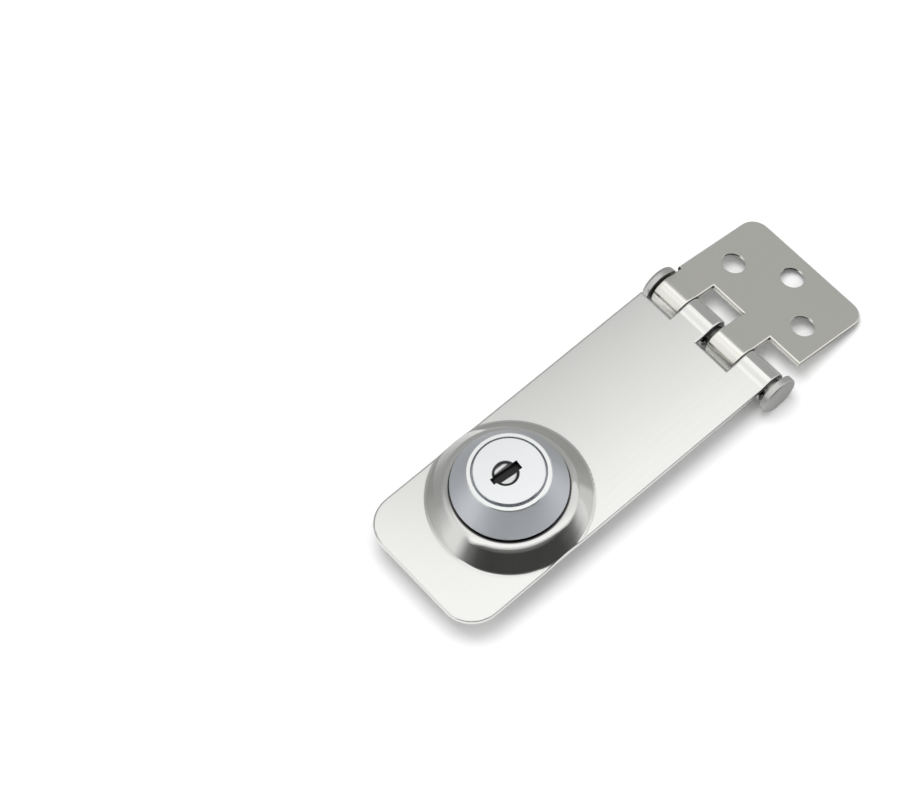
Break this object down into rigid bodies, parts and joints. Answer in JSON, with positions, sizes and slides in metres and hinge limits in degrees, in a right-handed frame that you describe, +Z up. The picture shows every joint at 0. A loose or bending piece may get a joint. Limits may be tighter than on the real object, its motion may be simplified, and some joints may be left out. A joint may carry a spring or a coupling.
{
  "type": "locking hasp",
  "caption": "Steel hasp: a flap with a drawn boss carries a keyed lock with a tapered head, and a pinned hinge joins it to a notched screw leaf.",
  "frame": {"origin": "the lock's axis, at the outer face of the bayonet cup, which is in the plane that the hasp lies on", "axes": "+X from the lock towards the hinged leaf, +Y along the hinge pin, +Z up out of the keyed face"},
  "size_m": [0.1164, 0.0387, 0.0212],
  "materials": {
    "flap_steel": "satin polished stainless steel",
    "leaf_steel": "fine brushed stainless steel",
    "pin_steel": "turned stainless steel",
    "housing_chrome": "satin chrome on cast zinc",
    "plug_chrome": "polished chrome on brass",
    "zinc_plate": "bright zinc-plated steel",
    "wafer_brass": "stamped brass",
    "spring_steel": "drawn spring wire"
  },
  "bodies": {
    "root": {"flap": "flap_steel", "hinge_pin": "pin_steel", "lock_housing": "housing_chrome", "housing_nut": "zinc_plate", "toothed_washer": "zinc_plate"},
    "leaf": {"leaf": "leaf_steel"},
    "plug": {"lock_plug": "plug_chrome", "bayonet_cam": "zinc_plate", "cam_screw": "zinc_plate", "shutter_pin": "spring_steel", "wafer_spring_1": "spring_steel", "wafer_spring_2": "spring_steel", "wafer_spring_3": "spring_steel", "wafer_spring_4": "spring_steel", "wafer_spring_5": "spring_steel"},
    "shutter": {"dust_shutter": "zinc_plate"},
    "wafer_1": {"wafer_1": "wafer_brass"},
    "wafer_2": {"wafer_2": "wafer_brass"},
    "wafer_3": {"wafer_3": "wafer_brass"},
    "wafer_4": {"wafer_4": "wafer_brass"},
    "wafer_5": {"wafer_5": "wafer_brass"}
  },
  "joints": [
    {"name": "leaf_hinge", "type": "hinge", "parent": "root", "child": "leaf", "pos_m": [0.06, 0, 0.0046], "axis": [0, 1, 0], "range_deg": [-125, 167]},
    {"name": "plug_turn", "type": "hinge", "parent": "root", "child": "plug", "pos_m": [0, 0, 0], "axis": [0, 0, 1], "range_deg": [-90, 0]},
    {"name": "shutter_swing", "type": "hinge", "parent": "plug", "child": "shutter", "pos_m": [-0.00021, -0.00204, 0.01902], "axis": [-0.9945, 0.1045, 0], "range_deg": [0, 85], "stiffness_Nm_per_rad": 0.00002, "springref_deg": -28.65},
    {"name": "wafer_1_slide", "type": "slide", "parent": "plug", "child": "wafer_1", "axis": [0.9945, -0.1045, 0], "range_m": [0, 0.0007], "stiffness_N_per_m": 100, "springref_m": 0.0015},
    {"name": "wafer_2_slide", "type": "slide", "parent": "plug", "child": "wafer_2", "axis": [0.9945, -0.1045, 0], "range_m": [0, 0.0007], "stiffness_N_per_m": 100, "springref_m": 0.0015},
    {"name": "wafer_3_slide", "type": "slide", "parent": "plug", "child": "wafer_3", "axis": [0.9945, -0.1045, 0], "range_m": [0, 0.0007], "stiffness_N_per_m": 100, "springref_m": 0.0015},
    {"name": "wafer_4_slide", "type": "slide", "parent": "plug", "child": "wafer_4", "axis": [0.9945, -0.1045, 0], "range_m": [0, 0.0007], "stiffness_N_per_m": 100, "springref_m": 0.0015},
    {"name": "wafer_5_slide", "type": "slide", "parent": "plug", "child": "wafer_5", "axis": [0.9945, -0.1045, 0], "range_m": [0, 0.0007], "stiffness_N_per_m": 100, "springref_m": 0.0015}
  ]
}
